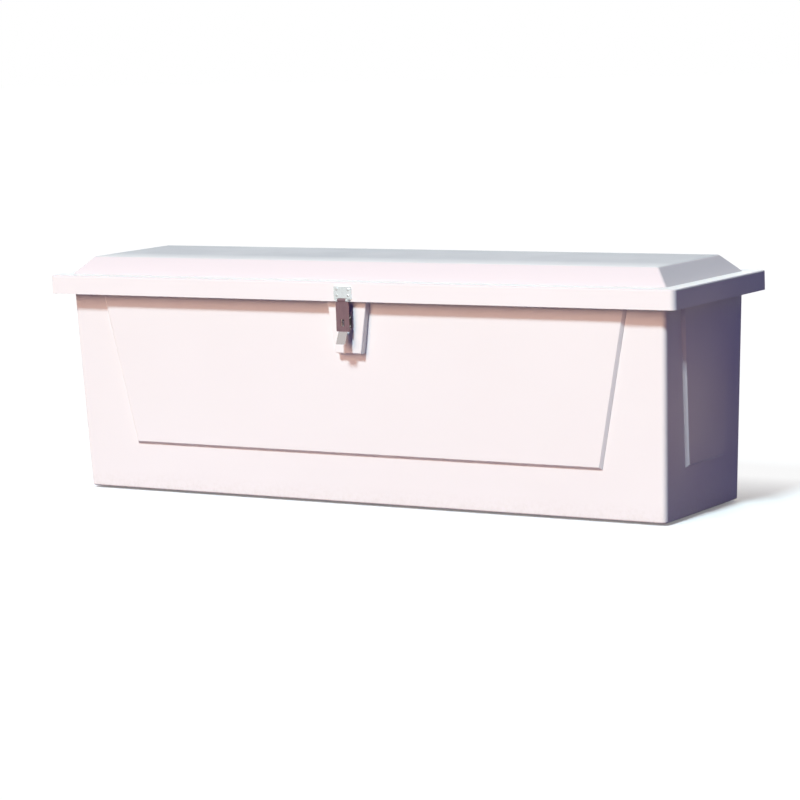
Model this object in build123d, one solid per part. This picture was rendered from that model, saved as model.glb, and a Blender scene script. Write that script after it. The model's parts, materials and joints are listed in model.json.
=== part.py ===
from build123d import *
from math import asin, cos, hypot, radians, sin, sqrt, tan
import os

# A long dock box in moulded fibreglass, in millimetres.
# +X runs along the box, the front faces -Y and +Z points up.
# The origin lies on the dock, under the middle of the box.

# Lid, measured outside
lid_length = 1854.0
lid_depth = 500.0
skirt_height = 49.0
ledge_width = 43.0
bevel_run = 43.0
bevel_rise = 44.0
lid_wall = 5.0
lid_corner_radius = 14.0
skirt_edge_radius = 4.0
hip_radius = 8.0
top_edge_radius = 12.0
core_thickness = 12.0
core_edge_gap = 3.0

# Tub, measured outside, with its height from the underside to the lid's skirt
tub_height = 520.0
end_overhang = 45.0
side_overhang = 40.0
end_taper_share = 0.036
side_taper_share = 0.026
tub_wall = 5.0
tub_corner_radius = 12.0
tub_foot_radius = 5.0

# Rim flange, its lip and the seal on it
rim_thickness = 4.0
lip_gap = 4.0
lip_above_skirt = 0.5
gasket_height = 7.7
gasket_width = 12.0
gasket_inset = 9.0
gasket_edge_radius = 3.0
seat_clearance = 0.3

# Raised panels with sloping edges, and their insets from the ends of the tub's mouth
panel_proud = 8.0
panel_slope = 6.5
panel_foot = 123.0
side_panel_top_inset = 102.0
side_panel_foot_inset = 186.0
end_panel_top_inset = 80.0
end_panel_foot_inset = 112.0
panel_edge_radius = 2.0

# Latch boss, in the middle of the front
boss_proud = 25.0
boss_drop = 133.0
boss_top_width = 118.0
boss_foot_width = 76.0
boss_edge_radius = 3.0

# Strips that the box stands on, with the bolts that can hold it to a dock.
# The insets of their screws and bolts are from the ends and sides of the tub's mouth.
runner_thickness = 6.0
runner_width = 70.0
runner_side_inset = 45.0
runner_end_inset = 178.0
runner_edge_chamfer = 1.5
runner_screw_side_inset = 130.0
runner_screw_grip = 4.0
dock_bolt_side_inset = 75.0
dock_bolt_hole_radius = 5.5

# Piano hinge inside the rear skirt
hinge_length = 1600.0
knuckle_length = 25.0
knuckle_radius = 3.5
knuckle_gap = 0.4
hinge_pin_radius = 1.6
leaf_thickness = 1.5
leaf_height = 34.0
hinge_rivet_spacing = 100.0
hinge_rivet_height = 22.0
running_clearance = 0.05

# Fasteners
rivet_radius = 2.0
rivet_head_radius = 3.6
rivet_head_height = 1.2
screw_radius = 2.5
screw_head_radius = 5.0
screw_head_height = 2.0

# Hasp: the leaf on the lid's skirt, the swinging strap and their pin
hasp_plate_width = 52.0
hasp_plate_height = 34.0
hasp_thickness = 2.0
hasp_corner_radius = 4.0
hasp_barrel_radius = 4.0
hasp_axis_above_skirt = 4.0
hasp_skirt_gap = 0.5
hasp_pin_radius = 1.8
hasp_pin_end = 0.8
hasp_pin_head_radius = 2.4
hasp_rivet_across = 34.0
hasp_rivet_low = 11.0
hasp_rivet_high = 26.0
strap_width = 38.0
strap_knuckle_length = 24.0
strap_bend_drop = 79.0
tab_width = 26.0
tab_length = 34.0
tab_angle = 25.0
tab_corner_radius = 6.0
slot_width = 10.0
slot_height = 18.0
slot_corner_radius = 2.0
slot_drop = 57.0

# Staple on the boss, which takes the padlock
staple_width = 28.0
staple_height = 32.0
staple_thickness = 2.0
eye_thickness = 4.0
eye_radius = 6.0
eye_hole_radius = 4.0
eye_strap_gap = 1.0
eye_above_slot = 1.0
staple_screw_radius = 2.0
staple_screw_head_radius = 3.0
staple_screw_head_height = 1.5
staple_screw_across = 18.0
staple_screw_up = 22.0
backing_width = 44.0
backing_height = 48.0
backing_thickness = 3.0
nut_radius = 3.8
nut_height = 3.2
screw_tip = 1.0

# Gas struts: both pivots lie at the same distance from the hinge
strut_arm = 280.0
lid_pivot_angle = 10.6
strut_closed_angle = 77.0
strut_wall_inset = 39.0
cylinder_radius = 9.0
cylinder_bore_radius = 7.5
cylinder_start = 18.0
cylinder_end = 275.0
cylinder_base = 4.0
gland_length = 10.0
rod_radius = 4.0
piston_length = 10.0
piston_end_gap = 4.0
ball_radius = 5.0
ball_clearance = 0.15
socket_radius = 8.0
socket_length = 13.0
socket_neck_radius = 5.5
stud_radius = 3.0
stud_collar_radius = 5.0
stud_collar_length = 1.8
stud_thread_length = 8.0

# Strut brackets
bracket_thickness = 3.0
bracket_width = 30.0
bracket_height = 56.0
bracket_gap = 6.0
bracket_screw_spacing = 40.0
bracket_screw_grip = 6.0
block_margin = 5.0
lid_bracket_foot = 28.0
lid_bracket_drop = 10.0
lid_bracket_screw_inset = 12.0
lid_bracket_screw_spacing = 16.0

# Margins for cuts, and for prisms that pass right through
overrun = 2.0
reach = lid_length
steep_share = 0.5
facing_share = 0.9

# Heights
tub_bottom = runner_thickness
floor_top = tub_bottom + tub_wall
skirt_bottom = tub_bottom + tub_height
ledge_top = skirt_bottom + skirt_height
lid_top = ledge_top + bevel_rise
ledge_under = ledge_top - lid_wall
lid_under = lid_top - lid_wall
core_under = lid_under - core_thickness
rim_top = ledge_under - seat_clearance - gasket_height
rim_under = rim_top - rim_thickness
lip_bottom = skirt_bottom + lip_above_skirt
panel_bottom = tub_bottom + panel_foot

# Half sizes along X and Y
lid_half = (lid_length / 2, lid_depth / 2)
skirt_inner_half = (lid_half[0] - lid_wall, lid_half[1] - lid_wall)
lip_half = (skirt_inner_half[0] - lip_gap, skirt_inner_half[1] - lip_gap)
mouth_half = (lid_half[0] - end_overhang, lid_half[1] - side_overhang)
bevel_foot_half = (lid_half[0] - ledge_width, lid_half[1] - ledge_width)
lid_top_half = (bevel_foot_half[0] - bevel_run, bevel_foot_half[1] - bevel_run)
boss_face = mouth_half[1] + boss_proud
runner_place = mouth_half[0] - runner_end_inset

# Hinge line and hasp line
hinge_y = lip_half[1] + lip_gap / 2
hinge_z = lip_bottom - knuckle_radius - knuckle_gap * 2
hasp_y = -(lid_half[1] + hasp_barrel_radius + hasp_skirt_gap)
hasp_z = skirt_bottom + hasp_axis_above_skirt
staple_z = hasp_z - slot_drop + eye_above_slot
eye_y = hasp_y + hasp_thickness / 2 + eye_strap_gap + eye_radius


def tub_half(height):
    """Half length and half depth of the tub's outside at a height."""
    drop = skirt_bottom - height
    return (mouth_half[0] - end_taper_share * drop, mouth_half[1] - side_taper_share * drop)


def trapezoid(foot_half, top_half, foot, top):
    """Upright trapezoid, level at its foot and top."""
    corners = [(-foot_half, foot), (foot_half, foot), (top_half, top), (-top_half, top)]
    return make_face(Polyline(*corners, close=True))


def tapered_box(foot_half, top_half, foot, top):
    """Four flat walls that lean, from the foot's half sizes to the top's."""
    seen_from_front = Plane.XZ * trapezoid(foot_half[0], top_half[0], foot, top)
    seen_from_end = Plane.YZ * trapezoid(foot_half[1], top_half[1], foot, top)
    return extrude(seen_from_front, reach, both=True) & extrude(seen_from_end, reach, both=True)


def upright_edges(solid):
    """Edges that climb, such as corners and hips."""
    return [edge for edge in solid.edges() if abs(edge.tangent_at(0).Z) > steep_share]


def rounded_block(half, foot, top, radius):
    """Level block with rounded upright corners."""
    outline = RectangleRounded(2 * half[0], 2 * half[1], radius)
    return extrude(Plane.XY.offset(foot) * outline, top - foot)


def shrunk(half, inset):
    """Half sizes moved in by an inset on every side."""
    return (half[0] - inset, half[1] - inset)


def domed_fastener(head_radius, head_height, shank_radius, shank_length):
    """Rivet or screw along Z: a domed head above zero and a shank below it."""
    dome = (head_radius ** 2 + head_height ** 2) / (2 * head_height)
    half_angle = asin(head_radius / dome) / 2
    middle = (dome * sin(half_angle), head_height - dome + dome * cos(half_angle))
    outline = [
        Line((0, -shank_length), (shank_radius, -shank_length)),
        Line((shank_radius, -shank_length), (shank_radius, 0)),
        Line((shank_radius, 0), (head_radius, 0)),
        ThreePointArc((head_radius, 0), middle, (0, head_height)),
        Line((0, head_height), (0, -shank_length)),
    ]
    return revolve(Plane.XZ * make_face(outline), Axis.Z)


def placed(part, origin, z_dir, x_dir=(1, 0, 0)):
    """A part made along Z, put at a place and turned to point along z_dir."""
    return Plane(origin=origin, x_dir=x_dir, z_dir=z_dir).location * part


def rod_between(radius, start, end):
    """Round bar between two points."""
    run = Vector(*end) - Vector(*start)
    side = (0, 0, 1) if abs(run.X) > abs(run.Z) else (1, 0, 0)
    bar = extrude(Circle(radius), run.length)
    return placed(bar, start, run.normalized(), side)


def save(name, shape):
    """Write one sub-part to its own file."""
    export_step(shape, f"parts/{name}.step")


# Tub
def raised_prisms(inset):
    """Prisms along Y and along X that bound the raised panels, moved in by an inset."""
    top = rim_top - rim_thickness / 2
    share = (top - panel_bottom) / (skirt_bottom - panel_bottom)
    prisms = []
    for plane, half, top_inset, foot_inset in (
        (Plane.XZ, mouth_half[0], side_panel_top_inset, side_panel_foot_inset),
        (Plane.YZ, mouth_half[1], end_panel_top_inset, end_panel_foot_inset),
    ):
        foot_half = half - foot_inset
        top_half = foot_half + (foot_inset - top_inset) * share
        outline = trapezoid(foot_half - inset, top_half - inset, panel_bottom + inset, top)
        prisms.append(extrude(plane * outline, reach, both=True))
    return prisms


def boss_prism(inset):
    """The latch boss from its face to the box's middle, moved in by an inset."""
    top = rim_top - rim_thickness / 2
    foot = skirt_bottom - boss_drop
    lean = (boss_top_width - boss_foot_width) / (2 * boss_drop)
    foot_half = boss_foot_width / 2
    top_half = foot_half + lean * (top - foot)
    outline = trapezoid(foot_half - inset, top_half - inset, foot + inset, top)
    return extrude(Plane.XZ * outline, boss_face - inset)


def tub_walls(inset, foot, top):
    """The tapered tub between two heights, moved in by an inset."""
    return tapered_box(shrunk(tub_half(foot), inset), shrunk(tub_half(top), inset), foot, top)


def tub_outside():
    walls = tub_walls(0, tub_bottom, rim_top)
    walls = fillet(upright_edges(walls), tub_corner_radius)
    walls = fillet(walls.faces().sort_by(Axis.Z)[0].edges(), tub_foot_radius)
    grown = tub_walls(-panel_proud, tub_bottom, rim_top)
    for prism, axis in zip(raised_prisms(0), (Axis.Y, Axis.X)):
        panels = chamfer(face_edges(grown & prism, axis), panel_slope)
        walls += fillet(face_edges(panels, axis), panel_edge_radius)
    boss = boss_prism(0)
    boss = fillet(boss.faces().sort_by(Axis.Y)[0].edges(), boss_edge_radius)
    return walls + boss


def face_edges(solid, axis):
    """Edges of the two faces that look along an axis, one each way."""
    ends = [face for face in solid.faces() if abs(face.normal_at().dot(axis.direction)) > facing_share]
    return ends[0].edges() + ends[1].edges()


def tub_cavity():
    walls = tub_walls(tub_wall, floor_top, rim_top + overrun)
    walls = fillet(upright_edges(walls), tub_corner_radius - tub_wall)
    walls = fillet(walls.faces().sort_by(Axis.Z)[0].edges(), tub_foot_radius)
    grown = tub_walls(tub_wall - panel_proud, floor_top, rim_top)
    recesses = [grown & prism for prism in raised_prisms(tub_wall + panel_slope / 2)]
    return walls + recesses[0] + recesses[1] + boss_prism(tub_wall)


def rim_flange():
    """Level flange round the mouth, with a lip that hangs inside the lid's skirt."""
    radius = lid_corner_radius - lid_wall
    outer = rounded_block(lip_half, lip_bottom, rim_top, radius)
    outer = fillet(outer.faces().sort_by(Axis.Z)[-1].edges(), rim_thickness / 2)
    hollow = rounded_block(
        shrunk(lip_half, rim_thickness), lip_bottom - overrun, rim_under, radius - rim_thickness
    )
    return outer - hollow


def runner_places():
    return (-runner_place, 0, runner_place)


def runner_screw_places():
    side = mouth_half[1] - runner_screw_side_inset
    return [(x, y) for x in runner_places() for y in (-side, 0, side)]


def dock_bolt_places():
    side = mouth_half[1] - dock_bolt_side_inset
    return [(x, y) for x in (-runner_place, runner_place) for y in (-side, side)]


def upright_holes(places, radius, foot, top):
    return [Pos(x, y, foot) * extrude(Circle(radius), top - foot) for x, y in places]


def staple_screw_places():
    across = staple_screw_across / 2
    up = staple_screw_up / 2
    return [(x, staple_z + z) for x in (-across, across) for z in (-up, up)]


def holes_along_y(places, radius, start, end):
    return [rod_between(radius, (x, start, z), (x, end, z)) for x, z in places]


def hinge_rivet_places():
    count = int(hinge_length / hinge_rivet_spacing)
    first = -hinge_rivet_spacing * (count - 1) / 2
    return [(first + number * hinge_rivet_spacing, hinge_z + hinge_rivet_height) for number in range(count)]


def make_tub():
    tub = tub_outside() + rim_flange() - tub_cavity()
    tub -= upright_holes(runner_screw_places(), screw_radius, tub_bottom - overrun, floor_top + overrun)
    tub -= upright_holes(dock_bolt_places(), dock_bolt_hole_radius, tub_bottom - overrun, floor_top + overrun)
    tub -= holes_along_y(
        staple_screw_places(), staple_screw_radius, -boss_face - overrun, -boss_face + tub_wall + overrun
    )
    tub -= holes_along_y(
        hinge_rivet_places(), rivet_radius, lip_half[1] - rim_thickness - overrun, lip_half[1] + overrun
    )
    return tub


def make_gasket():
    radius = lid_corner_radius - lid_wall
    outer_half = shrunk(lip_half, gasket_inset)
    outer = rounded_block(outer_half, rim_top, rim_top + gasket_height, radius)
    inner = rounded_block(
        shrunk(outer_half, gasket_width), rim_top - overrun, rim_top + gasket_height + overrun, radius
    )
    ring = outer - inner
    return fillet(ring.faces().sort_by(Axis.Z)[-1].edges(), gasket_edge_radius)


# Strips under the tub
def make_runner(place):
    length = 2 * (tub_half(tub_bottom)[1] - runner_side_inset)
    strip = Pos(place, 0, 0) * extrude(Rectangle(runner_width, length), runner_thickness)
    strip = chamfer(strip.faces().sort_by(Axis.Z)[0].edges(), runner_edge_chamfer)
    sites = [site for site in runner_screw_places() if site[0] == place]
    strip -= upright_holes(sites, screw_radius, tub_bottom - runner_screw_grip, tub_bottom + overrun)
    bolts = [site for site in dock_bolt_places() if site[0] == place]
    if bolts:
        strip -= upright_holes(bolts, dock_bolt_hole_radius, -overrun, tub_bottom + overrun)
    return strip


def make_runner_screws():
    screw = domed_fastener(
        screw_head_radius, screw_head_height, screw_radius, tub_wall + runner_screw_grip
    )
    return Compound([Pos(x, y, floor_top) * screw for x, y in runner_screw_places()])


# Lid
def lid_bevels(foot_half, top_half, foot, top, hip, edge):
    """The part of the lid above its ledge, inside or outside."""
    crown = tapered_box(foot_half, top_half, foot, top)
    if hip:
        crown = fillet(upright_edges(crown), hip)
        crown = fillet(crown.faces().sort_by(Axis.Z)[-1].edges(), edge)
    return crown


def lid_hollow():
    """Inside of the lid: the skirt's hollow and the bevels, moved in by the wall."""
    slant = hypot(bevel_run, bevel_rise)
    inset = lid_wall * (slant - bevel_run) / bevel_rise
    foot_half = shrunk(bevel_foot_half, inset)
    top_half = shrunk(lid_top_half, inset)
    skirt = rounded_block(
        skirt_inner_half, skirt_bottom - overrun, ledge_under, lid_corner_radius - lid_wall
    )
    return skirt + lid_bevels(foot_half, top_half, ledge_under, lid_under, 0, 0)


def make_lid():
    skirt = rounded_block(lid_half, skirt_bottom, ledge_top, lid_corner_radius)
    skirt = fillet(skirt.faces().sort_by(Axis.Z)[-1].edges(), skirt_edge_radius)
    crown = lid_bevels(
        bevel_foot_half, lid_top_half, ledge_top, lid_top, hip_radius, top_edge_radius
    )
    lid = skirt + crown - lid_hollow()
    lid -= holes_along_y(
        hinge_rivet_places(), rivet_radius, skirt_inner_half[1] - overrun, lid_half[1] + overrun
    )
    lid -= holes_along_y(
        hasp_rivet_places(), rivet_radius, -lid_half[1] - overrun, -skirt_inner_half[1] + overrun
    )
    return lid


def core_half():
    slant = hypot(bevel_run, bevel_rise)
    inset = lid_wall * (slant - bevel_run) / bevel_rise
    return shrunk(lid_top_half, inset + core_edge_gap)


def make_lid_core():
    board = rounded_block(core_half(), core_under, lid_under, lid_corner_radius)
    for side in (-1, 1):
        places = lid_bracket_screw_places(side)
        board -= upright_holes(places, screw_radius, core_under - overrun, core_under + bracket_screw_grip)
    return board


# Piano hinge
def knuckle_count():
    """An odd number, so that the tub's leaf has both end knuckles."""
    return 2 * int(hinge_length / (2 * knuckle_length)) + 1


def make_hinge_leaf(side):
    """Side -1 is the tub's leaf and +1 the lid's, each against its own wall."""
    count = knuckle_count()
    span = count * knuckle_length
    back = side * lip_gap / 2
    front = back - side * leaf_thickness
    low, high = min(back, front), max(back, front)
    notch = knuckle_radius + knuckle_gap

    def strip(foot, top):
        return Pos((low + high) / 2, (foot + top) / 2) * Rectangle(high - low, top - foot)

    plate = extrude(Plane.YZ * strip(notch, leaf_height), span / 2, both=True)
    section = Circle(knuckle_radius) + strip(0, notch) - Circle(hinge_pin_radius + running_clearance)
    knuckle = extrude(Plane.YZ * section, (knuckle_length - knuckle_gap) / 2, both=True)
    first = 0 if side < 0 else 1
    leaf = plate
    for number in range(first, count, 2):
        leaf += Pos((number + 1 / 2) * knuckle_length - span / 2, 0, 0) * knuckle
    leaf = Pos(0, hinge_y, hinge_z) * leaf
    return leaf - holes_along_y(
        hinge_rivet_places(), rivet_radius, hinge_y + low - overrun, hinge_y + high + overrun
    )


def make_hinge_pin():
    half = knuckle_count() * knuckle_length / 2
    return rod_between(hinge_pin_radius, (-half, hinge_y, hinge_z), (half, hinge_y, hinge_z))


def make_hinge_tub_rivets():
    """Flush on the leaf's face, domed inside the lip."""
    grip = rim_thickness + leaf_thickness
    rivet = domed_fastener(rivet_head_radius, rivet_head_height, rivet_radius, grip)
    inside = lip_half[1] - rim_thickness
    return Compound([placed(rivet, (x, inside, z), (0, -1, 0)) for x, z in hinge_rivet_places()])


def make_hinge_lid_rivets():
    """Flush on the leaf's face, domed outside the rear skirt."""
    grip = lid_wall + leaf_thickness
    rivet = domed_fastener(rivet_head_radius, rivet_head_height, rivet_radius, grip)
    return Compound([placed(rivet, (x, lid_half[1], z), (0, 1, 0)) for x, z in hinge_rivet_places()])


# Hasp
def hasp_rivet_places():
    across = hasp_rivet_across / 2
    return [(x, hasp_z + z) for x in (-across, across) for z in (hasp_rivet_low, hasp_rivet_high)]


def barrel(start, end):
    """A length of the hasp's barrel, bored for its pin."""
    outer = rod_between(hasp_barrel_radius, (start, hasp_y, hasp_z), (end, hasp_y, hasp_z))
    bore_radius = hasp_pin_radius + running_clearance
    bore = rod_between(bore_radius, (start - overrun, hasp_y, hasp_z), (end + overrun, hasp_y, hasp_z))
    return outer - bore


def make_hasp_plate():
    notch_half = strap_knuckle_length / 2 + knuckle_gap
    outline = Pos(0, hasp_plate_height / 2) * RectangleRounded(
        hasp_plate_width, hasp_plate_height, hasp_corner_radius
    )
    notch_height = hasp_barrel_radius + knuckle_gap
    outline -= Rectangle(2 * notch_half, 2 * notch_height)
    plate = placed(extrude(outline, hasp_thickness), (0, -lid_half[1], hasp_z), (0, -1, 0))
    for side in (-1, 1):
        start, end = sorted((side * notch_half, side * strap_width / 2))
        plate += barrel(start, end)
    return plate - holes_along_y(
        hasp_rivet_places(), rivet_radius, -lid_half[1] - hasp_thickness - overrun, -lid_half[1] + overrun
    )


def make_hasp_rivets():
    """Domed outside the plate, with a low tail inside the skirt."""
    grip = lid_wall + hasp_thickness
    rivet = domed_fastener(rivet_head_radius, rivet_head_height, rivet_radius, grip)
    tail = extrude(Circle(rivet_head_radius), rivet_head_height)
    rivet += Pos(0, 0, -grip - rivet_head_height) * tail
    front = -lid_half[1] - hasp_thickness
    return Compound([placed(rivet, (x, front, z), (0, -1, 0)) for x, z in hasp_rivet_places()])


def make_hasp_pin():
    half = strap_width / 2
    ends = [half, half + hasp_pin_end]
    pin = rod_between(hasp_pin_radius, (-half, hasp_y, hasp_z), (half, hasp_y, hasp_z))
    for side in (-1, 1):
        start, end = (side * ends[0], hasp_y, hasp_z), (side * ends[1], hasp_y, hasp_z)
        pin += rod_between(hasp_pin_head_radius, start, end)
    return pin


def strap_side_view():
    """The strap's thickness, straight from the pin to its bend and then out along the tab."""
    half = hasp_thickness / 2
    turn = radians(tab_angle)
    shift = half * tan(turn / 2)
    end_y = -tab_length * sin(turn)
    end_z = -strap_bend_drop - tab_length * cos(turn)
    return make_face(Polyline(
        (half, 0),
        (half, -strap_bend_drop - shift),
        (end_y + half * cos(turn), end_z - half * sin(turn)),
        (end_y - half * cos(turn), end_z + half * sin(turn)),
        (-half, -strap_bend_drop + shift),
        (-half, 0),
        close=True,
    ))


def strap_front_view():
    """The strap's outline: knuckle, full width, and the narrower tab."""
    shoulder = hasp_barrel_radius + knuckle_gap
    knuckle = Pos(0, -shoulder) * Rectangle(strap_knuckle_length, 2 * shoulder)
    body_height = strap_bend_drop - shoulder
    body = Pos(0, -shoulder - body_height / 2) * RectangleRounded(
        strap_width, body_height, slot_corner_radius
    )
    tab = Pos(0, -strap_bend_drop) * RectangleRounded(tab_width, 2 * tab_length, tab_corner_radius)
    slot = Pos(0, -slot_drop) * RectangleRounded(slot_width, slot_height, slot_corner_radius)
    return knuckle + body + tab - slot


def make_hasp_strap():
    side_view = extrude(Plane.YZ * strap_side_view(), strap_width / 2, both=True)
    front_view = extrude(Plane.XZ * strap_front_view(), strap_width, both=True)
    strap = Pos(0, hasp_y, hasp_z) * (side_view & front_view)
    half = strap_knuckle_length / 2
    bore_radius = hasp_pin_radius + running_clearance
    bore = rod_between(bore_radius, (-half, hasp_y, hasp_z), (half, hasp_y, hasp_z))
    return strap + barrel(-half, half) - bore


def make_staple():
    base = placed(
        extrude(RectangleRounded(staple_width, staple_height, slot_corner_radius), staple_thickness),
        (0, -boss_face, staple_z), (0, -1, 0),
    )
    neck_length = -boss_face - eye_y
    outline = Circle(eye_radius) + Pos(neck_length / 2, 0) * Rectangle(neck_length, 2 * eye_radius)
    outline -= Circle(eye_hole_radius)
    eye = extrude(Plane.YZ * outline, eye_thickness / 2, both=True)
    base += Pos(0, eye_y, staple_z) * eye
    return base - holes_along_y(
        staple_screw_places(), staple_screw_radius, -boss_face - staple_thickness - overrun,
        -boss_face + overrun,
    )


staple_grip = staple_thickness + tub_wall + backing_thickness


def make_staple_screws():
    screw = domed_fastener(
        staple_screw_head_radius, staple_screw_head_height, staple_screw_radius,
        staple_grip + nut_height + screw_tip,
    )
    front = -boss_face - staple_thickness
    return Compound([placed(screw, (x, front, z), (0, -1, 0)) for x, z in staple_screw_places()])


def make_staple_backing_plate():
    plate = placed(
        extrude(RectangleRounded(backing_width, backing_height, hasp_corner_radius), backing_thickness),
        (0, -boss_face + tub_wall, staple_z), (0, 1, 0), (-1, 0, 0),
    )
    start = -boss_face + tub_wall
    return plate - holes_along_y(
        staple_screw_places(), staple_screw_radius, start - overrun, start + backing_thickness + overrun
    )


def make_staple_nuts():
    nut = extrude(RegularPolygon(nut_radius, 6) - Circle(staple_screw_radius), nut_height)
    start = -boss_face + tub_wall + backing_thickness
    return Compound([placed(nut, (x, start, z), (0, 1, 0)) for x, z in staple_screw_places()])


# Gas struts
def arm_end(angle):
    """A point on the strut arm's circle, by its angle above the forward level."""
    turn = radians(angle)
    return (hinge_y - strut_arm * cos(turn), hinge_z + strut_arm * sin(turn))


lid_pivot = arm_end(lid_pivot_angle)
tub_pivot = arm_end(lid_pivot_angle - strut_closed_angle)
strut_run = (lid_pivot[0] - tub_pivot[0], lid_pivot[1] - tub_pivot[1])
strut_length = hypot(*strut_run)
strut_up = (0, strut_run[0] / strut_length, strut_run[1] / strut_length)
strut_down = (0, -strut_up[1], -strut_up[2])
strut_x = mouth_half[0] - strut_wall_inset
rod_end = strut_length - cylinder_start - cylinder_base - piston_end_gap


def strut_socket(stud_side):
    """Ball socket with its neck along +Z, open to the stud along X."""
    half = socket_length / 2
    body = rod_between(socket_radius, (-half, 0, 0), (half, 0, 0))
    body += extrude(Circle(socket_neck_radius), cylinder_start)
    cup = ball_radius + ball_clearance
    mouth = rod_between(stud_radius + seat_clearance * 4, (0, 0, 0), (stud_side * (half + overrun), 0, 0))
    return body - Sphere(cup) - mouth


def at_tub_pivot(part, side):
    return placed(part, (side * strut_x, *tub_pivot), strut_up)


def at_lid_pivot(part, side):
    return placed(part, (side * strut_x, *lid_pivot), strut_down)


def make_strut_cylinder(side):
    tube = extrude(Circle(cylinder_radius), cylinder_end - cylinder_start)
    bore = extrude(Circle(cylinder_bore_radius), cylinder_end - cylinder_start)
    tube -= Pos(0, 0, cylinder_base) * bore
    return at_tub_pivot(Pos(0, 0, cylinder_start) * tube, side)


def make_strut_gland(side):
    ring = extrude(Circle(cylinder_bore_radius) - Circle(rod_radius + running_clearance), gland_length)
    return at_tub_pivot(Pos(0, 0, cylinder_end - gland_length) * ring, side)


def make_strut_rod(side):
    bar = extrude(Circle(rod_radius), rod_end - piston_length - cylinder_start)
    return at_lid_pivot(Pos(0, 0, cylinder_start) * bar, side)


def make_strut_piston(side):
    disc = extrude(Circle(cylinder_bore_radius - running_clearance), piston_length)
    return at_lid_pivot(Pos(0, 0, rod_end - piston_length) * disc, side)


def ball_stud(collar_start, collar_end, thread_end):
    """Turned stud along +Z from its ball's centre, with a collar and a plain end."""
    neck = sqrt(ball_radius ** 2 - stud_radius ** 2)
    outline = [
        ThreePointArc((0, -ball_radius), (ball_radius, 0), (stud_radius, neck)),
        Polyline(
            (stud_radius, neck), (stud_radius, collar_start), (stud_collar_radius, collar_start),
            (stud_collar_radius, collar_end), (stud_radius, collar_end), (stud_radius, thread_end),
            (0, thread_end), (0, -ball_radius),
        ),
    ]
    return revolve(Plane.XZ * make_face(outline), Axis.Z)


tub_bracket_face = strut_x + socket_length / 2 + bracket_gap
lid_bracket_face = strut_x - socket_length / 2 - stud_collar_length * 2


def make_tub_stud(side):
    """Stud from the end wall's bracket, pointing in, with its thread in the block."""
    face = tub_bracket_face - strut_x
    stud = ball_stud(face - stud_collar_length, face, face + stud_thread_length)
    return placed(stud, (side * strut_x, *tub_pivot), (side, 0, 0), (0, 1, 0))


def make_lid_stud(side):
    """Stud from the lid bracket's tab, pointing out, cut level with the tab's back."""
    face = strut_x - lid_bracket_face
    stud = ball_stud(face - stud_collar_length, face, face + bracket_thickness)
    return placed(stud, (side * strut_x, *lid_pivot), (-side, 0, 0), (0, 1, 0))


def tub_bracket_screw_places():
    half = bracket_screw_spacing / 2
    return [(tub_pivot[0], tub_pivot[1] + z) for z in (-half, half)]


def holes_along_x(places, radius, start, end):
    return [rod_between(radius, (start, y, z), (end, y, z)) for y, z in places]


def make_strut_block(side):
    """Wooden block bonded to the end wall, cut to the wall's lean."""
    start = tub_bracket_face + bracket_thickness
    width = bracket_width + 2 * block_margin
    height = bracket_height + 2 * block_margin
    sketch = Plane.YZ * (Pos(*tub_pivot) * Rectangle(width, height))
    long_block = Pos(start, 0, 0) * extrude(sketch, strut_wall_inset)
    block = long_block & tub_walls(tub_wall, floor_top, rim_top)
    depth = start + bracket_screw_grip
    block -= holes_along_x(tub_bracket_screw_places(), screw_radius, start - overrun, depth)
    thread = tub_bracket_face + stud_thread_length
    block -= holes_along_x([tub_pivot], stud_radius, start - overrun, thread)
    return mirrored(block, side)


def mirrored(part, side):
    """The right-hand part as it is, or its mirror image on the left."""
    return part if side > 0 else mirror(part, Plane.YZ)


def make_tub_bracket(side):
    outline = Pos(*tub_pivot) * RectangleRounded(bracket_width, bracket_height, hasp_corner_radius)
    plate = Pos(tub_bracket_face, 0, 0) * extrude(Plane.YZ * outline, bracket_thickness)
    start, end = tub_bracket_face - overrun, tub_bracket_face + bracket_thickness + overrun
    plate -= holes_along_x(tub_bracket_screw_places(), screw_radius, start, end)
    plate -= holes_along_x([tub_pivot], stud_radius, start, end)
    return mirrored(plate, side)


def make_tub_bracket_screws():
    screw = domed_fastener(
        screw_head_radius, screw_head_height, screw_radius, bracket_thickness + bracket_screw_grip
    )
    return Compound([
        placed(screw, (side * tub_bracket_face, y, z), (-side, 0, 0), (0, 1, 0))
        for side in (-1, 1) for y, z in tub_bracket_screw_places()
    ])


def lid_bracket_screw_places(side):
    half = lid_bracket_screw_spacing / 2
    x = side * (lid_bracket_face - lid_bracket_foot + lid_bracket_screw_inset)
    return [(x, lid_pivot[0] + y) for y in (-half, half)]


def make_lid_bracket(side):
    """Angle under the lid's board: a level foot and a hanging tab."""
    foot_start = lid_bracket_face - lid_bracket_foot
    tab_foot = lid_pivot[1] - lid_bracket_drop
    foot = Pos((foot_start + lid_bracket_face) / 2, lid_pivot[0], core_under - bracket_thickness) * extrude(
        Rectangle(lid_bracket_foot, bracket_width), bracket_thickness
    )
    tab_height = core_under - tab_foot
    tab = Pos(lid_bracket_face - bracket_thickness / 2, lid_pivot[0], tab_foot) * extrude(
        Rectangle(bracket_thickness, bracket_width), tab_height
    )
    angle = foot + tab
    angle -= upright_holes(
        lid_bracket_screw_places(1), screw_radius, core_under - bracket_thickness - overrun,
        core_under + overrun,
    )
    start, end = lid_bracket_face - bracket_thickness - overrun, lid_bracket_face + overrun
    angle -= holes_along_x([lid_pivot], stud_radius, start, end)
    return mirrored(angle, side)


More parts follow.
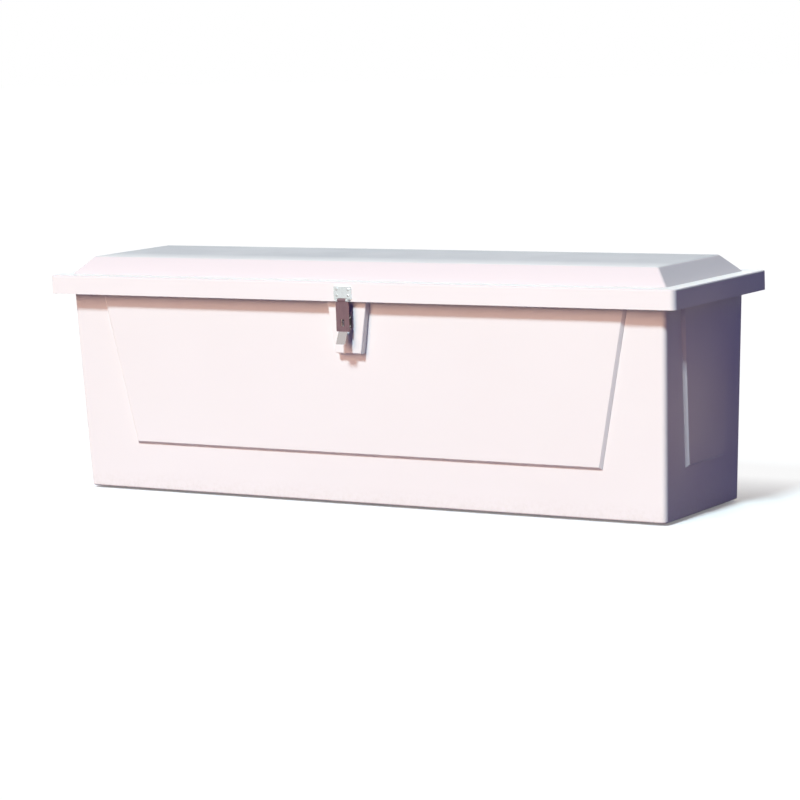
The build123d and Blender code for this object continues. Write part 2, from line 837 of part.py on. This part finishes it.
def make_lid_bracket_screws():
    screw = domed_fastener(
        screw_head_radius, screw_head_height, screw_radius, bracket_thickness + bracket_screw_grip
    )
    under = core_under - bracket_thickness
    places = lid_bracket_screw_places(-1) + lid_bracket_screw_places(1)
    return Compound([placed(screw, (x, y, under), (0, 0, -1)) for x, y in places])


# Every sub-part under its own name
def make_all():
    pieces = {
        "tub": make_tub(),
        "rim_gasket": make_gasket(),
        "runner_left": make_runner(-runner_place),
        "runner_centre": make_runner(0),
        "runner_right": make_runner(runner_place),
        "runner_screws": make_runner_screws(),
        "lid": make_lid(),
        "lid_core": make_lid_core(),
        "hinge_tub_leaf": make_hinge_leaf(-1),
        "hinge_lid_leaf": make_hinge_leaf(1),
        "hinge_pin": make_hinge_pin(),
        "hinge_tub_rivets": make_hinge_tub_rivets(),
        "hinge_lid_rivets": make_hinge_lid_rivets(),
        "hasp_plate": make_hasp_plate(),
        "hasp_rivets": make_hasp_rivets(),
        "hasp_pin": make_hasp_pin(),
        "hasp_strap": make_hasp_strap(),
        "staple": make_staple(),
        "staple_screws": make_staple_screws(),
        "staple_backing_plate": make_staple_backing_plate(),
        "staple_nuts": make_staple_nuts(),
        "tub_bracket_screws": make_tub_bracket_screws(),
        "lid_bracket_screws": make_lid_bracket_screws(),
    }
    for side, hand in ((-1, "left"), (1, "right")):
        pieces[f"strut_block_{hand}"] = make_strut_block(side)
        pieces[f"strut_tub_bracket_{hand}"] = make_tub_bracket(side)
        pieces[f"strut_tub_stud_{hand}"] = make_tub_stud(side)
        pieces[f"strut_lid_bracket_{hand}"] = make_lid_bracket(side)
        pieces[f"strut_lid_stud_{hand}"] = make_lid_stud(side)
        pieces[f"strut_cylinder_{hand}"] = make_strut_cylinder(side)
        pieces[f"strut_gland_{hand}"] = make_strut_gland(side)
        pieces[f"strut_cylinder_socket_{hand}"] = at_tub_pivot(strut_socket(side), side)
        pieces[f"strut_rod_{hand}"] = make_strut_rod(side)
        pieces[f"strut_piston_{hand}"] = make_strut_piston(side)
        pieces[f"strut_rod_socket_{hand}"] = at_lid_pivot(strut_socket(-side), side)
    return pieces


def main():
    os.makedirs("parts", exist_ok=True)
    pieces = make_all()
    for name, shape in pieces.items():
        save(name, shape)
    print("hinge line y, z:", round(hinge_y, 3), round(hinge_z, 3))
    print("hasp line y, z:", round(hasp_y, 3), round(hasp_z, 3))
    print("tub pivot y, z:", [round(value, 3) for value in tub_pivot])
    print("lid pivot y, z:", [round(value, 3) for value in lid_pivot])
    print("strut x:", strut_x, "closed length:", round(strut_length, 2))
    print("eye centre y, z:", round(eye_y, 3), round(staple_z, 3), "lid top:", lid_top)


main()
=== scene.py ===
import json
from math import cos, pi, radians, sin

import bpy
from mathutils import Matrix, Vector


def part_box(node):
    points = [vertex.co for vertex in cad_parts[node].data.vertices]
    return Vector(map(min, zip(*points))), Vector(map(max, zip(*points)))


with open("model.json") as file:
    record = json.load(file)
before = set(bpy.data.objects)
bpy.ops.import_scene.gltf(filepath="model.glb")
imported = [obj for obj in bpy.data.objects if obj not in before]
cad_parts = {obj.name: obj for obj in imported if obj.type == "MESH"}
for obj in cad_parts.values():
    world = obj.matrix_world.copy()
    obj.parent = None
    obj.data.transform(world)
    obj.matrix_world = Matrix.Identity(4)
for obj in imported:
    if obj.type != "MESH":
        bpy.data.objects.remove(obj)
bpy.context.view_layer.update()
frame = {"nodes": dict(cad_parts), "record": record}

# A long white dock box, dressed for a studio picture. Metres, +Z up, the front faces -Y.
nodes = frame["nodes"]
lid_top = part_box("lid")[1].z
tub_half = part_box("tub")[1]

# Camera at the photograph's angle
frame_pixels = 800
sensor_width = 36.0
focal_pixels = 3101.1
camera_azimuth = radians(32.37)
camera_elevation = radians(7.575)
camera_roll = radians(-2.07)
camera_distance = 7.993
camera_target = Vector((-0.0005, 0.0, 0.2447))

# Distant lamps: the direction towards each, what it gives a white surface facing it, and its width
distant_lamps = {
    "key": ((0.0, -1.0, 1.1), (0.724, 0.940, 1.020), radians(8)),
    "fill": ((-0.33, -1.0, 0.35), (0.722, 0.476, 0.322), radians(46)),
    "sky": ((0.1, 0.3, 1.0), (0.140, 0.125, 0.030), radians(20)),
    "back": ((-0.5, 1.0, 0.05), (0.92, 0.93, 0.95), radians(40)),
}
reflected_lamp = "key"
# Near lamp at the front right: its place, what it faces, its width and its power
near_lamp = ((1.25, -0.15, 0.27), (0.9, -0.15, 0.27), 0.25, (0.21, 0.162, 0.105))
# The world: what lights the object, and what the camera, reflections and panes see of it
ambient_colour = (0.004, 0.004, 0.120)
background_colour = (1.0, 1.0, 1.0)

# Floor: the glow that is only seen, the white that takes light and shadow, each beside the box and
# further off, and the colour that scattered light meets
floor_half = 30.0
floor_roughness = 0.9
shadow_reach = (0.0, 0.32)
floor_glows = (0.20, 0.92)
floor_whites = (0.88, 0.11)
floor_bounce = (0.015, 0.010, 0.080)

# Sockets of the colour mix node, which has one set for each kind of value
mix_share, mix_first, mix_second, mix_result = 0, 6, 7, 2


def rgb(red, green, blue):
    return (red, green, blue, 1.0)


class Finish:
    """A node material in the making, with short ways to add and join its nodes."""

    def __init__(self, name):
        self.material = bpy.data.materials.new(name)
        self.material.use_nodes = True
        self.tree = self.material.node_tree
        self.shader = self.tree.nodes["Principled BSDF"]
        coordinates = self.tree.nodes.new("ShaderNodeTexCoord")
        self.place = coordinates.outputs["Object"]
        self.facing = coordinates.outputs["Normal"]

    def feed(self, socket, value):
        """Link a node's output to a socket, or set the socket to a plain value."""
        if isinstance(value, bpy.types.NodeSocket):
            self.tree.links.new(value, socket)
        else:
            socket.default_value = value

    def node(self, kind, inputs, output=0, **settings):
        made = self.tree.nodes.new("ShaderNode" + kind)
        for key, value in settings.items():
            setattr(made, key, value)
        for key, value in inputs.items():
            self.feed(made.inputs[key], value)
        return made.outputs[output]

    def maths(self, operation, first, second=0.0, third=0.0):
        return self.node("Math", {0: first, 1: second, 2: third}, operation=operation)

    def vector(self, operation, first, second):
        return self.node("VectorMath", {0: first, 1: second}, operation=operation)

    def dot(self, first, second):
        return self.node("VectorMath", {0: first, 1: second}, "Value", operation="DOT_PRODUCT")

    def noise(self, scale, detail, roughness=0.5, stretch=(1, 1, 1)):
        place = self.vector("MULTIPLY", self.place, stretch)
        return self.node("TexNoise", {
            "Vector": place, "Scale": scale, "Detail": detail, "Roughness": roughness,
        })

    def spread(self, value, low, high, new_low=0.0, new_high=1.0):
        """A value between low and high brought to between new_low and new_high."""
        return self.node("MapRange", {
            "Value": value, "From Min": low, "From Max": high,
            "To Min": new_low, "To Max": new_high,
        })

    def mix(self, share, first, second):
        inputs = {mix_share: share, mix_first: first, mix_second: second}
        return self.node("Mix", inputs, mix_result, data_type="RGBA")

    def bump(self, height, depth, under=None):
        inputs = {"Height": height, "Distance": depth, "Strength": 1.0}
        if under is not None:
            inputs["Normal"] = under
        return self.node("Bump", inputs)

    def set(self, **values):
        for key, value in values.items():
            self.feed(self.shader.inputs[key.replace("_", " ")], value)
        return self


# Moulded gelcoat outside: its tones, and where they lie
gelcoat_white = rgb(0.895, 0.878, 0.876)
gelcoat_warm = rgb(0.880, 0.858, 0.852)
gelcoat_dusty = rgb(0.800, 0.770, 0.745)
# Painted shade: a darker pinkish grey for faces sloping upwards, so the lid's bevels, which the
# lamps light more than the walls, come out as bright as the walls.
gelcoat_slope_shade = rgb(0.677, 0.611, 0.634)
# Grey-blue of the lid's flat top: chalky weathering and painted shade that keeps the top darker
# than the lamps light it.
gelcoat_chalk_and_shade = rgb(0.445, 0.450, 0.482)
upwards = (0, 0, 1)
rearwards = (0, 1, 0)
dusty_heights = (0.004, 0.055)
chalk_and_shade_heights = (lid_top - 0.006, lid_top - 0.001)
chalk_and_shade_depths = (-0.185, -0.06)
# Towards the top's front edge the grey thins out: a painted lighter band for the light a broader
# rounded edge would catch.
chalk_and_shade_at_front = 0.35
chalk_and_shade_least = 0.88
level_faces = (0.85, 0.97)
sloping_faces = (0.1, 0.6)
gelcoat_gloss = (0.42, 0.52)
gelcoat_ior = 1.5
gelcoat_specular = 0.12
swell_depth = 0.0009
peel_depth = 0.00006

# Rolled resin over woven glass inside
resin_pale = rgb(0.700, 0.705, 0.680)
resin_dark = rgb(0.600, 0.612, 0.585)
inside_centre = (0.0, 0.0, 0.45)
weave_pitch = 0.009
weave_wander = 0.006
weft_direction = (1, 1, 0)
warp_direction = (1, -1, 1)
weave_height = 0.5
weave_depth = 0.0008
resin_gloss = (0.42, 0.62)

# Noise: scale per metre, detail and roughness, then the part of its range that is used
cloud_noise, cloud_range = (2.2, 1.0), (0.25, 0.75)
dust_noise, dust_range = (95.0, 6.0, 0.7), (0.42, 0.75)
chalk_and_shade_noise, chalk_and_shade_range = (5.0, 5.0), (0.3, 0.6)
resin_noise, resin_range = (30.0, 5.0), (0.35, 0.7)
gloss_noise, gloss_range = (7.0, 5.0), (0.3, 0.7)
wander_noise = (14.0, 2.0)
swell_noise = (9.0, 2.0)
peel_noise = (420.0, 2.0)


def gelcoat_tone(finish):
    """White, dusty near the ground, painted darker on the lid's slopes, and grey on its flat top
    from chalky weathering and painted shade.
    """
    cloud = finish.spread(finish.noise(*cloud_noise), *cloud_range)
    tone = finish.mix(cloud, gelcoat_white, gelcoat_warm)
    height = finish.dot(finish.place, upwards)
    near_ground = finish.spread(height, *dusty_heights, 1.0, 0.0)
    dust = finish.spread(finish.noise(*dust_noise), *dust_range)
    tone = finish.mix(finish.maths("MULTIPLY", near_ground, dust), tone, gelcoat_dusty)

    # Painted shade: faces sloping upwards, such as the lid's bevels, are darkened.
    upward = finish.dot(finish.facing, upwards)
    level = finish.spread(upward, *level_faces)
    slope_shade = finish.maths("SUBTRACT", finish.spread(upward, *sloping_faces), level)
    tone = finish.mix(slope_shade, tone, gelcoat_slope_shade)

    # Chalky weathering and painted shade grey the lid's flat top. Less of it lies towards the front
    # edge, which is painted lighter for the light a rounded edge would catch.
    depth = finish.dot(finish.place, rearwards)
    from_front = finish.spread(depth, *chalk_and_shade_depths, chalk_and_shade_at_front, 1.0)
    on_top = finish.maths("MULTIPLY", level, finish.spread(height, *chalk_and_shade_heights))
    on_top = finish.maths("MULTIPLY", on_top, from_front)
    patchy = finish.spread(finish.noise(*chalk_and_shade_noise), *chalk_and_shade_range, chalk_and_shade_least, 1.0)
    return finish.mix(finish.maths("MULTIPLY", on_top, patchy), tone, gelcoat_chalk_and_shade)


def glass_weave(finish):
    """Crossed strands, from -1 to 1."""
    wander = finish.maths("MULTIPLY", finish.noise(*wander_noise), weave_wander)
    waves = []
    for direction in (weft_direction, warp_direction):
        strand = finish.maths("ADD", finish.dot(finish.place, direction), wander)
        turned = finish.maths("MULTIPLY", strand, 2 * pi / weave_pitch)
        waves.append(finish.maths("SINE", turned))
    return finish.maths("MULTIPLY", *waves)


def gelcoat(name):
    finish = Finish(name)
    outward = finish.vector("SUBTRACT", finish.place, inside_centre)
    inside = finish.maths("LESS_THAN", finish.dot(outward, finish.facing), 0.0)
    outside = finish.maths("SUBTRACT", 1.0, inside)

    resin_mix = finish.spread(finish.noise(*resin_noise), *resin_range)
    resin = finish.mix(resin_mix, resin_pale, resin_dark)
    colour = finish.mix(inside, gelcoat_tone(finish), resin)

    weave = glass_weave(finish)
    inner_gloss = finish.spread(weave, -1.0, 1.0, *resin_gloss)
    outer_gloss = finish.spread(finish.noise(*gloss_noise), *gloss_range, *gelcoat_gloss)
    roughness = finish.maths(
        "ADD", finish.maths("MULTIPLY", inside, inner_gloss),
        finish.maths("MULTIPLY", outside, outer_gloss),
    )

    swell = finish.bump(finish.noise(*swell_noise), swell_depth)
    peel = finish.bump(finish.noise(*peel_noise), peel_depth, swell)
    strands = finish.maths("MULTIPLY", finish.maths("MULTIPLY", weave, inside), weave_height)
    finish.set(
        Base_Color=colour, Roughness=roughness, Normal=finish.bump(strands, weave_depth, peel),
        IOR=gelcoat_ior, Specular_IOR_Level=gelcoat_specular,
    )
    return finish.material


# Brushed sheet: brush lines, smears that stain the tone, and pits
line_scale, line_detail, line_roughness, line_range = 60.0, 6.0, 0.6, (0.3, 0.7)
stretch_along, stretch_across = 0.6, 22.0
smear_noise, smear_range = (38.0, 5.0, 0.6), (0.38, 0.66)
smear_share = 0.35
stain_share = 0.82
brushed_gloss_range = (0.4, 1.6)
groove_depth = 0.00004
pit_noise, pit_depth = (700.0, 3.0), 0.00003


def brushed_metal(name, light, dark, along, gloss, patch=None):
    """Sheet metal with fine brush lines along one direction. A patch is a colour, its roughness
    and the heights between which it comes in; on the hasp steel it is painted shade, on the strap
    painted light."""
    finish = Finish(name)
    stretch = tuple(stretch_along if part else stretch_across for part in along)
    lines = finish.noise(line_scale, line_detail, line_roughness, stretch)
    smears = finish.spread(finish.noise(*smear_noise), *smear_range)
    tone = finish.mix(finish.spread(lines, *line_range), light, dark)
    stain = rgb(*(part * stain_share for part in dark[:3]))
    tone = finish.mix(finish.maths("MULTIPLY", smears, smear_share), tone, stain)
    roughness = finish.spread(
        finish.maths("ADD", lines, smears), *brushed_gloss_range, *gloss)
    if patch:
        patch_colour, patch_roughness, patch_heights = patch
        share = finish.spread(finish.dot(finish.place, upwards), *patch_heights)
        tone = finish.mix(share, tone, patch_colour)
        change = finish.maths("SUBTRACT", patch_roughness, roughness)
        roughness = finish.maths("ADD", roughness, finish.maths("MULTIPLY", share, change))
    grooves = finish.bump(lines, groove_depth)
    pits = finish.bump(finish.noise(*pit_noise), pit_depth, grooves)
    finish.set(Base_Color=tone, Roughness=roughness, Normal=pits, Metallic=1.0)
    return finish.material


# Rubber, plastic and paint: a fine grain, and broad marks of this many times its size
speckle_detail, grain_roughness = 4.0, 0.65
broad_marks, broad_range = 18, (0.35, 0.65)
broad_share, fine_share = 0.6, 0.4


def speckled(name, light, dark, grain, gloss, depth):
    """Two tones, uneven gloss and a fine surface grain."""
    finish = Finish(name)
    fine = finish.noise(grain, speckle_detail, grain_roughness)
    broad = finish.spread(finish.noise(grain / broad_marks, speckle_detail), *broad_range)
    share = finish.maths(
        "MULTIPLY_ADD", broad, broad_share, finish.maths("MULTIPLY", fine, fine_share))
    finish.set(
        Base_Color=finish.mix(share, light, dark), Roughness=finish.spread(broad, 0.0, 1.0, *gloss),
        Normal=finish.bump(fine, depth), Metallic=0.0,
    )
    return finish.material


# Sealed plywood: the grain runs along the box
wood_pale = rgb(0.56, 0.40, 0.24)
wood_brown = rgb(0.42, 0.27, 0.14)
wood_deep = rgb(0.26, 0.15, 0.07)
grain_noise, grain_range, grain_share = (26.0, 6.0, 0.6, (0.9, 16.0, 2.0)), (0.5, 0.75), 0.55
figure_noise, figure_range = (3.0, 4.0, 0.55, (0.8, 5.0, 1.0)), (0.35, 0.65)
ply_pitch, ply_range, ply_share = 0.0048, (0.2, 0.9), 0.25
wood_gloss_range, wood_gloss = (0.3, 0.7), (0.42, 0.6)
grain_depth = 0.0003


def plywood(name):
    """Long grain on the faces and thin plies on the edges."""
    finish = Finish(name)
    grain = finish.noise(*grain_noise)
    figure = finish.noise(*figure_noise)
    tone = finish.mix(finish.spread(figure, *figure_range), wood_pale, wood_brown)
    tone = finish.mix(finish.spread(grain, *grain_range, 0.0, grain_share), tone, wood_deep)
    height = finish.dot(finish.place, upwards)
    ply = finish.maths("SINE", finish.maths("MULTIPLY", height, 2 * pi / ply_pitch))
    tone = finish.mix(finish.spread(ply, *ply_range, 0.0, ply_share), tone, wood_deep)
    finish.set(
        Base_Color=tone, Roughness=finish.spread(grain, *wood_gloss_range, *wood_gloss),
        Normal=finish.bump(grain, grain_depth),
    )
    return finish.material


# For each material slot of the record: how its material is made, its name and its settings
finishes = {
    "gelcoat": (gelcoat, "white_gelcoat", {}),
    "plywood": (plywood, "sealed_plywood", {}),
    "gasket_rubber": (speckled, "black_rubber", {
        "light": rgb(0.030, 0.030, 0.032), "dark": rgb(0.014, 0.014, 0.015),
        "grain": 900.0, "gloss": (0.5, 0.68), "depth": 0.0001,
    }),
    "runner_plastic": (speckled, "grey_plastic", {
        "light": rgb(0.66, 0.665, 0.67), "dark": rgb(0.55, 0.555, 0.56),
        "grain": 500.0, "gloss": (0.38, 0.55), "depth": 0.00012,
    }),
    "strut_paint": (speckled, "black_paint", {
        "light": rgb(0.020, 0.020, 0.022), "dark": rgb(0.012, 0.012, 0.013),
        "grain": 600.0, "gloss": (0.28, 0.4), "depth": 0.00004,
    }),
    "strut_seal": (speckled, "seal_rubber", {
        "light": rgb(0.040, 0.038, 0.036), "dark": rgb(0.022, 0.022, 0.022),
        "grain": 900.0, "gloss": (0.5, 0.65), "depth": 0.0001,
    }),
    "socket_nylon": (speckled, "socket_nylon", {
        "light": rgb(0.055, 0.055, 0.058), "dark": rgb(0.035, 0.035, 0.037),
        "grain": 700.0, "gloss": (0.4, 0.55), "depth": 0.0001,
    }),
    "stainless": (brushed_metal, "stainless", {
        "light": rgb(0.63, 0.62, 0.60), "dark": rgb(0.50, 0.49, 0.48),
        "along": (1, 0, 0), "gloss": (0.22, 0.42),
    }),
    "hasp_steel": (brushed_metal, "hasp_steel", {
        "light": rgb(0.80, 0.83, 0.83), "dark": rgb(0.68, 0.71, 0.71),
        "along": (0, 0, 1), "gloss": (0.20, 0.32),
        # Below 0.484 m the hasp steel of the staple, behind the strap, turns near black: painted
        # shade in the slot and behind the strap.
        "patch": (rgb(0.17, 0.135, 0.15), 0.45, (0.492, 0.484)),
    }),
    # The strap's dark brown-mauve tone is a painted dark reflection: it stands in for the dark
    # surroundings that the steel mirrors.
    "strap_steel": (brushed_metal, "strap_steel", {
        "light": rgb(0.290, 0.175, 0.190), "dark": rgb(0.210, 0.125, 0.140),
        "along": (0, 0, 1), "gloss": (0.38, 0.52),
        # Below 0.4495 m the strap's lower tab turns lighter and glossier: painted light where the
        # tab catches the light.
        "patch": (rgb(0.52, 0.48, 0.47), 0.2, (0.4515, 0.4495)),
    }),
    "rod_chrome": (brushed_metal, "rod_chrome", {
        "light": rgb(0.66, 0.66, 0.67), "dark": rgb(0.56, 0.56, 0.58),
        "along": (1, 0, 0), "gloss": (0.08, 0.18),
    }),
}


def finish_cad_nodes():
    """Each CAD node gets the node material of its own material slot in the record."""
    materials = {slot: make(name, **rest) for slot, (make, name, rest) in finishes.items()}
    for row in frame["record"]["subparts"]:
        node = nodes[row["node"]]
        for place in node.material_slots:
            place.material = materials[row["material_slot"]]


def add_object(name, data):
    made = bpy.data.objects.new(name, data)
    bpy.context.scene.collection.objects.link(made)
    return made


def make_lamp(name, kind, direction, brightness, factor):
    data = bpy.data.lights.new(name, kind)
    strongest = max(brightness)
    data.energy = strongest * factor
    data.color = tuple(part / strongest for part in brightness)
    lamp = add_object(name, data)
    lamp.rotation_mode = "QUATERNION"
    lamp.rotation_quaternion = Vector(direction).to_track_quat("Z", "Y")
    return lamp


def make_lamps():
    for name, (direction, brightness, width) in distant_lamps.items():
        lamp = make_lamp(name, "SUN", direction, brightness, pi)
        lamp.data.angle = width
        lamp.visible_glossy = name == reflected_lamp
    place, target, width, power = near_lamp
    lamp = make_lamp("near", "AREA", Vector(place) - Vector(target), power, 1.0)
    lamp.location = place
    lamp.data.size = width
    lamp.visible_camera = False


def seen_directly(tree):
    """1 for a ray from the camera, a reflection or a pane, and 0 for scattered light."""
    path = tree.nodes.new("ShaderNodeLightPath")
    total = path.outputs["Is Camera Ray"]
    for kind in ("Is Glossy Ray", "Is Transmission Ray"):
        larger = tree.nodes.new("ShaderNodeMath")
        larger.operation = "MAXIMUM"
        tree.links.new(total, larger.inputs[0])
        tree.links.new(path.outputs[kind], larger.inputs[1])
        total = larger.outputs[0]
    return total


def make_world():
    world = bpy.data.worlds.new("studio")
    bpy.context.scene.world = world
    world.use_nodes = True
    tree = world.node_tree
    colour = tree.nodes.new("ShaderNodeMix")
    colour.data_type = "RGBA"
    colour.inputs[mix_first].default_value = rgb(*ambient_colour)
    colour.inputs[mix_second].default_value = rgb(*background_colour)
    tree.links.new(seen_directly(tree), colour.inputs[mix_share])
    tree.links.new(colour.outputs[mix_result], tree.nodes["Background"].inputs["Color"])


def make_floor():
    mesh = bpy.data.meshes.new("floor")
    signs = ((-1, -1), (1, -1), (1, 1), (-1, 1))
    mesh.from_pydata([(x * floor_half, y * floor_half, 0) for x, y in signs], [], [(0, 1, 2, 3)])
    finish = Finish("pale_floor")
    direct = seen_directly(finish.tree)
    outside = finish.node("VectorMath", {0: finish.place}, operation="ABSOLUTE")
    outside = finish.vector("SUBTRACT", outside, tub_half)
    outside = finish.vector("MAXIMUM", outside, (0, 0, 0))
    distance = finish.node("VectorMath", {0: outside}, "Value", operation="LENGTH")
    white = finish.spread(distance, *shadow_reach, *floor_whites)
    glow = finish.spread(distance, *shadow_reach, *floor_glows)
    finish.set(
        Base_Color=finish.mix(direct, rgb(*floor_bounce), white), Roughness=floor_roughness,
        Specular_IOR_Level=0.0, Emission_Color=rgb(1, 1, 1),
        Emission_Strength=finish.maths("MULTIPLY", direct, glow),
    )
    mesh.materials.append(finish.material)
    add_object("floor", mesh)


def make_camera():
    data = bpy.data.cameras.new("camera")
    data.sensor_width = sensor_width
    data.lens = sensor_width * focal_pixels / frame_pixels
    camera = add_object("camera", data)
    back = Vector((
        sin(camera_azimuth) * cos(camera_elevation),
        -cos(camera_azimuth) * cos(camera_elevation),
        sin(camera_elevation),
    ))
    right = (-back).cross(Vector((0, 0, 1))).normalized()
    up = right.cross(-back)
    turned_right = right * cos(camera_roll) + up * sin(camera_roll)
    turned_up = up * cos(camera_roll) - right * sin(camera_roll)
    turn = Matrix((turned_right, turned_up, back)).transposed().to_4x4()
    camera.matrix_world = Matrix.Translation(camera_target + back * camera_distance) @ turn
    bpy.context.scene.camera = camera


finish_cad_nodes()
make_floor()
make_world()
make_lamps()
make_camera()
bpy.context.scene.view_settings.view_transform = "Standard"
